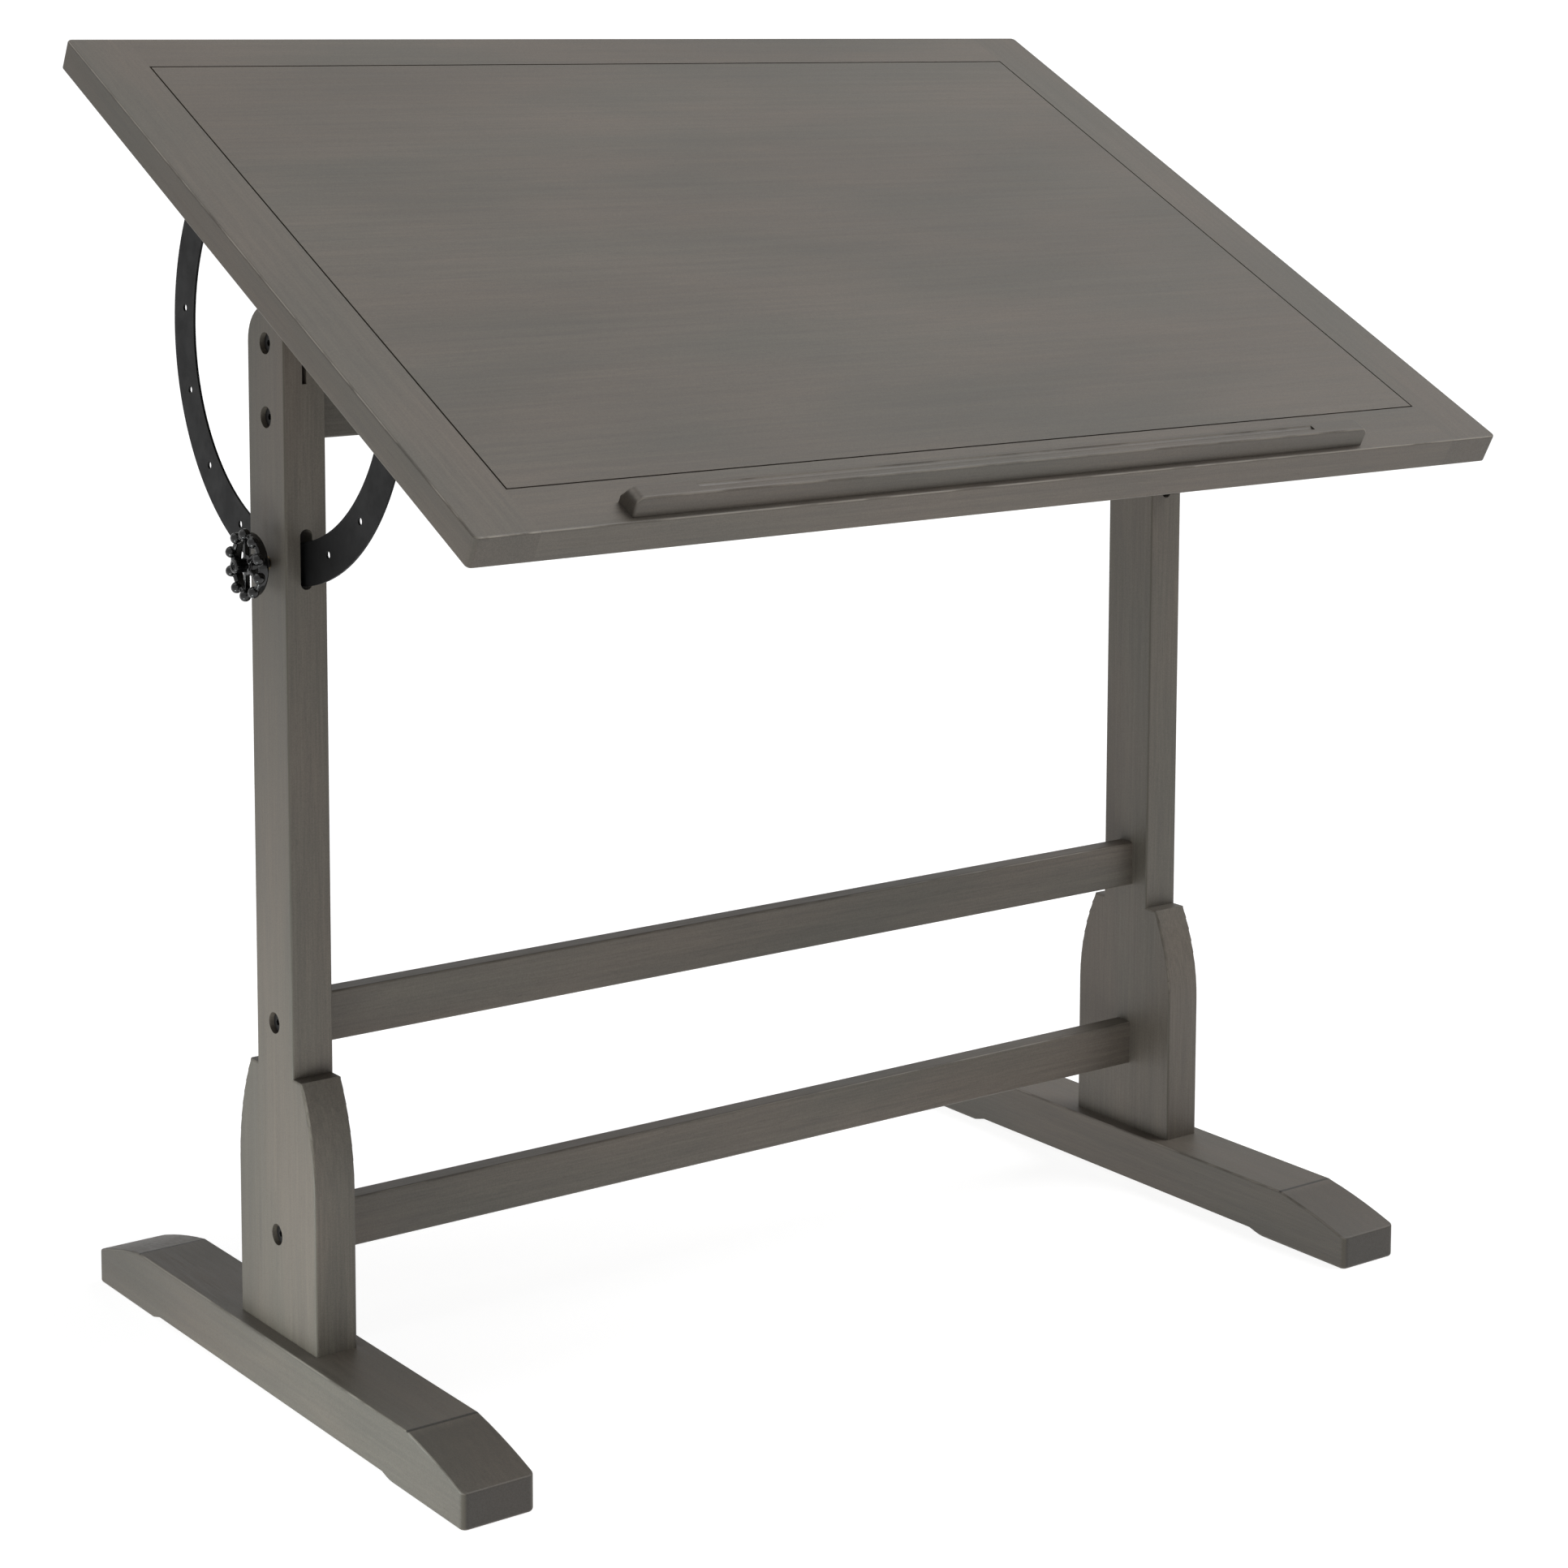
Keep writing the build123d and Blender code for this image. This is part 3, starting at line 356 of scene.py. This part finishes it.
def wood(name, grain, shade=1.0, tilted=False, shape="box", seed=0.0, wear_and_highlight=0.6, dark=0.3,
         end=SOFT_END, extra=None):
    """Grey-brown stained hardwood with wash, streaks, fibres, specks, pores, end grain and rubbed arrises; the
    upward arrises also carry a painted highlight.
    """
    graph = Graph(name)
    place = graph.position(tilted, (seed * 1.7, seed * 2.3, seed * 3.1))
    normal = graph.normal(tilted)
    cloud = graph.noise(stretched(graph, place, grain, CLOUD), 1.0, 2.0, 0.5)
    streak = graph.noise(stretched(graph, place, grain, STREAK), 1.0, 3.0, 0.6, 0.35)
    fibre = graph.noise(stretched(graph, place, grain, FIBRE), 1.0, 3.0, 0.6)
    pore = graph.noise(stretched(graph, place, grain, PORE), 1.0, 1.0)
    wash = graph.noise(stretched(graph, place, grain, WASH), 1.0, 1.0)

    colour = graph.blend(graph.spread(cloud, 0.28, 0.72), STAIN_COOL, STAIN_WARM)
    value = graph.spread(streak, 0.25, 0.75, 0.93, 1.07)
    value = graph.math("MULTIPLY", value, graph.spread(fibre, 0.22, 0.78, 0.84, 1.15))
    value = graph.math("MULTIPLY", value, graph.spread(wash, 0.3, 0.7, 0.90, 1.07))
    value = graph.math("MULTIPLY", value, graph.spread(pore, 0.66, 0.76, 1.0, 0.80))
    speck = graph.noise(place, SPECK_SCALE, 2.0)
    value = graph.math("MULTIPLY", value, graph.spread(speck, 0.3, 0.7, 0.91, 1.09))
    parts = absolute_parts(graph, normal)
    ends = graph.spread(parts["XYZ".index(grain)], 0.75, 0.97)
    end_value = graph.spread(speck, 0.3, 0.7, end * 0.84, end * 1.12)
    value = graph.math("ADD", graph.math("MULTIPLY", value, graph.math("SUBTRACT", 1.0, ends)),
                       graph.math("MULTIPLY", end_value, ends))
    value = graph.math("MULTIPLY", value, shade)
    colour = graph.blend(1.0, colour, grey(graph, value), "MULTIPLY")

    rim = arris_share(graph, normal, shape)
    upward = graph.spread(signed_z(graph, normal), 0.05, 0.45)
    broken = graph.spread(graph.noise(stretched(graph, place, grain, BROKEN), 1.0, 4.0), 0.36, 0.58)
    shown = graph.math("MULTIPLY", broken, wear_and_highlight)
    # Upward arrises lightened: partly rubbed wear, partly a painted highlight along the lit top edges
    rubbed_and_highlight = graph.math("MULTIPLY", graph.math("MULTIPLY", rim, upward), shown)
    downward = graph.math("SUBTRACT", 1.0, upward)
    stained = graph.math("MULTIPLY", graph.math("MULTIPLY", rim, downward), dark)
    colour = graph.blend(stained, colour, EDGE_DARK)
    colour = graph.blend(rubbed_and_highlight, colour, EDGE_WORN_AND_HIGHLIGHT)
    if extra is not None:
        colour = extra(graph, colour)

    rough = graph.spread(fibre, 0.2, 0.8, 0.44, 0.60)
    rough = graph.math("SUBTRACT", rough, graph.math("MULTIPLY", rubbed_and_highlight, 0.12))
    height = graph.math("SUBTRACT", fibre, graph.math("MULTIPLY", graph.spread(pore, 0.64, 0.74), 0.8))
    bump = graph.bump(height, FIBRE_RELIEF, 0.7)
    return graph.finish(colour, rough, bump)


def grey(graph, value):
    """A grey colour from one value."""
    node = graph.add("ShaderNodeCombineColor", Red=value, Green=value, Blue=value)
    return node.outputs[0]


def signed_z(graph, normal):
    """The upward part of a normal."""
    return graph.add("ShaderNodeSeparateXYZ", Vector=normal).outputs["Z"]


CREASE_Y = 0.2375
CREASE_HALF = 0.0016
CREASE_FADE = 0.012


def foot_lines(graph, colour):
    """The dark line where the slope starts and a darker tone on the upward slope faces."""
    split = graph.add("ShaderNodeSeparateXYZ", Vector=graph.coordinates.outputs["Object"])
    normal = graph.coordinates.outputs["Normal"]
    reach = graph.math("ABSOLUTE", graph.math("SUBTRACT", split.outputs["Y"], PIVOT.y))
    upward = graph.spread(signed_z(graph, normal), 0.3, 0.75)
    slope = graph.math("MULTIPLY", graph.spread(reach, CREASE_Y, CREASE_Y + CREASE_FADE), upward)
    colour = graph.blend(graph.math("MULTIPLY", slope, 0.30), colour, tone(46, 42, 37))
    off = graph.math("ABSOLUTE", graph.math("SUBTRACT", reach, CREASE_Y))
    line = graph.math("MULTIPLY", graph.spread(off, CREASE_HALF * 1.6, CREASE_HALF * 0.4), upward)
    return graph.blend(graph.math("MULTIPLY", line, 0.95), colour, tone(36, 33, 29))


def raw_wood():
    """Bare beech for dowels."""
    graph = Graph("bare_beech")
    place = graph.position()
    fleck = graph.noise(stretched(graph, place, "X", (0.0006, 0.006)), 1.0, 2.0)
    colour = graph.blend(graph.spread(fleck, 0.35, 0.65), tone(201, 170, 130), tone(172, 136, 96))
    return graph.finish(colour, graph.spread(fleck, 0.2, 0.8, 0.5, 0.7), graph.bump(fleck, 0.00003))


# ------------------------------------------------------------- metal

def painted_steel(name, base, rough, grain_size, relief, edge_radius):
    """Black coated steel: a fine skin, thin dust and slightly rounded edges."""
    graph = Graph(name)
    place = graph.position()
    skin = graph.noise(place, 1 / grain_size, 2.0)
    dust = graph.noise(place, 28.0, 4.0, 0.6)
    colour = graph.blend(graph.spread(dust, 0.35, 0.75), tone(*base), tone(*[value + 9 for value in base]))
    roughness = graph.spread(graph.noise(place, 60.0, 3.0), 0.25, 0.75, rough - 0.06, rough + 0.08)
    graph.shader.inputs["Specular IOR Level"].default_value = 0.18
    rounded = graph.add("ShaderNodeBevel", Radius=edge_radius)
    rounded.samples = 4
    bump = graph.bump(skin, relief, 0.6, rounded.outputs[0])
    return graph.finish(colour, roughness, bump)


def bright_metal(name, colour, rough):
    """Plated or turned metal with fine turning marks."""
    graph = Graph(name)
    place = graph.position()
    marks = graph.noise(stretched(graph, place, "X", (0.004, 0.0004)), 1.0, 2.0)
    darker = tone(*[value * 0.8 for value in colour])
    tint = graph.blend(graph.spread(marks, 0.3, 0.7, 0.0, 0.35), tone(*colour), darker)
    return graph.finish(tint, graph.spread(marks, 0.2, 0.8, rough - 0.08, rough + 0.1),
                        graph.bump(marks, 0.00001), metallic=1.0)


# ------------------------------------------------------------- handwheel and stud

WHEEL_VOXEL = 0.00042
WHEEL_SMOOTHING = 9
THREAD_PITCH = 0.00125
THREAD_DEPTH = 0.0007
ROWS_PER_TURN = 8
AROUND = 40
POINT_LENGTH = 0.0057
POINT_RADIUS = 0.0028
POINT_CHAMFER = 0.0008


def cast_handwheel(material):
    """The wheel as a casting: its joins flow into each other instead of meeting in creases."""
    source = NODES["handwheel"]
    wheel = bpy.data.objects.new("handwheel_casting", source.data.copy())
    bpy.context.scene.collection.objects.link(wheel)
    remesh = wheel.modifiers.new("remesh", "REMESH")
    remesh.mode = "VOXEL"
    remesh.voxel_size = WHEEL_VOXEL
    smooth = wheel.modifiers.new("smooth", "SMOOTH")
    smooth.factor = 0.5
    smooth.iterations = WHEEL_SMOOTHING
    bpy.context.view_layer.update()
    evaluated = wheel.evaluated_get(bpy.context.evaluated_depsgraph_get())
    mesh = bpy.data.meshes.new_from_object(evaluated)
    wheel.modifiers.clear()
    wheel.data = mesh
    mesh.materials.clear()
    mesh.materials.append(material)
    for polygon in mesh.polygons:
        polygon.use_smooth = True
    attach(wheel, "knob")
    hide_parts("handwheel")


def ring_at(build, x, centre, reaches):
    """One ring of vertices around the stud's axis, with a radius for each step."""
    ring = []
    for step, reach in enumerate(reaches):
        angle = 2 * math.pi * step / AROUND
        y = centre.y + reach * math.cos(angle)
        z = centre.z + reach * math.sin(angle)
        ring.append(build.verts.new((x, y, z)))
    return ring


def threaded_stud(material):
    """The stud with a real helical thread, in the place and length of its CAD solid."""
    low, high = (Vector(corner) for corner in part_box("knob_stud"))
    centre = (low + high) / 2
    radius = (high.z - low.z) / 2
    point_end = high.x
    thread_end = point_end - POINT_LENGTH
    rows = round((thread_end - low.x) / THREAD_PITCH * ROWS_PER_TURN)
    rings = []
    build = bmesh.new()
    for row in range(rows + 1):
        x = low.x + (thread_end - low.x) * row / rows
        taper = min(1.0, (thread_end - x) / THREAD_PITCH, (x - low.x) / THREAD_PITCH)
        reaches = []
        for step in range(AROUND):
            phase = ((x - low.x) / THREAD_PITCH + step / AROUND) % 1.0
            groove = THREAD_DEPTH * (1 - abs(2 * phase - 1))
            reaches.append(radius - max(groove, THREAD_DEPTH * (1 - taper)))
        rings.append(ring_at(build, x, centre, reaches))
    for x, reach in ((thread_end, POINT_RADIUS), (point_end - POINT_CHAMFER, POINT_RADIUS),
                     (point_end, POINT_RADIUS - POINT_CHAMFER)):
        rings.append(ring_at(build, x, centre, [reach] * AROUND))
    for ring, following in zip(rings, rings[1:]):
        for step in range(AROUND):
            after = (step + 1) % AROUND
            build.faces.new((ring[step], ring[after], following[after], following[step]))
    build.faces.new(rings[0][::-1])
    build.faces.new(rings[-1])
    bmesh.ops.recalc_face_normals(build, faces=build.faces)
    mesh = bpy.data.meshes.new("knob_stud_thread")
    build.to_mesh(mesh)
    build.free()
    mesh.materials.append(material)
    stud = bpy.data.objects.new("knob_stud_thread", mesh)
    bpy.context.scene.collection.objects.link(stud)
    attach(stud, "knob")
    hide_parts("knob_stud")


# ------------------------------------------------------------- table

def make_materials():
    """One finish per material slot of the record."""
    return {
        # Upward arrises get rubbed wear plus a painted highlight, scaled per finish
        "leg_wood": wood("leg_wood", "Z", 0.95, shape="plank", seed=0.3, wear_and_highlight=0.25, dark=0.8),
        "foot_wood": wood("foot_wood", "Y", 0.93, shape="plank", seed=0.9, wear_and_highlight=0.35, dark=0.7,
                          end=DARK_END, extra=foot_lines),
        "rail_wood": wood("rail_wood", "X", 0.97, seed=1.4, wear_and_highlight=0.4, dark=0.3),
        "panel_wood": wood("panel_wood", "X", 1.0, tilted=True, seed=2.2, wear_and_highlight=0.0, dark=0.5),
        "stile_wood": wood("stile_wood", "Y", 1.03, tilted=True, seed=3.1, wear_and_highlight=0.85, dark=0.55),
        "border_wood": wood("border_wood", "X", 1.02, tilted=True, seed=4.7, wear_and_highlight=0.7, dark=0.4),
        "ledge_wood": wood("ledge_wood", "X", 0.86, tilted=True, seed=5.3, wear_and_highlight=0.35, dark=0.2),
        "cleat_wood": wood("cleat_wood", "Y", 0.92, tilted=True, seed=6.1, wear_and_highlight=0.2),
        "raw_wood": raw_wood(),
        "black_steel": painted_steel("black_steel", (8, 8, 9), 0.50, 0.0006, 0.00002, 0.0004),
        "black_bolt": painted_steel("black_bolt", (24, 23, 23), 0.40, 0.0004, 0.00001, 0.0003),
        "black_cast_iron": cast_paint(),
        "brass_insert": bright_metal("brass_insert", (128, 110, 74), 0.42),
        "zinc_steel": bright_metal("zinc_steel", (200, 202, 206), 0.30),
    }


def cast_paint():
    """Gloss black paint over sand-cast iron."""
    graph = Graph("black_cast_iron")
    place = graph.position()
    sand = graph.noise(place, 420.0, 3.0, 0.6)
    swell = graph.noise(place, 90.0, 2.0)
    height = graph.math("ADD", graph.math("MULTIPLY", sand, 0.25), swell)
    colour = graph.blend(graph.spread(sand, 0.3, 0.7), tone(8, 8, 9), tone(13, 13, 14))
    roughness = graph.spread(sand, 0.3, 0.7, 0.10, 0.17)
    return graph.finish(colour, roughness, graph.bump(height, 0.00018, 0.5))


def finish_nodes(materials):
    """Give every CAD node the finish of its slot, and the feet their own finish."""
    slots = {part["node"]: part["material_slot"] for part in frame["record"]["subparts"]}
    for name, node in NODES.items():
        slot = "foot_wood" if name.endswith(("_foot", "_foot_pads")) else slots[name]
        node.data.materials.clear()
        node.data.materials.append(materials[slot])


add_camera()
add_studio()
finishes = make_materials()
finish_nodes(finishes)
cast_handwheel(finishes["black_cast_iron"])
threaded_stud(finishes["black_bolt"])
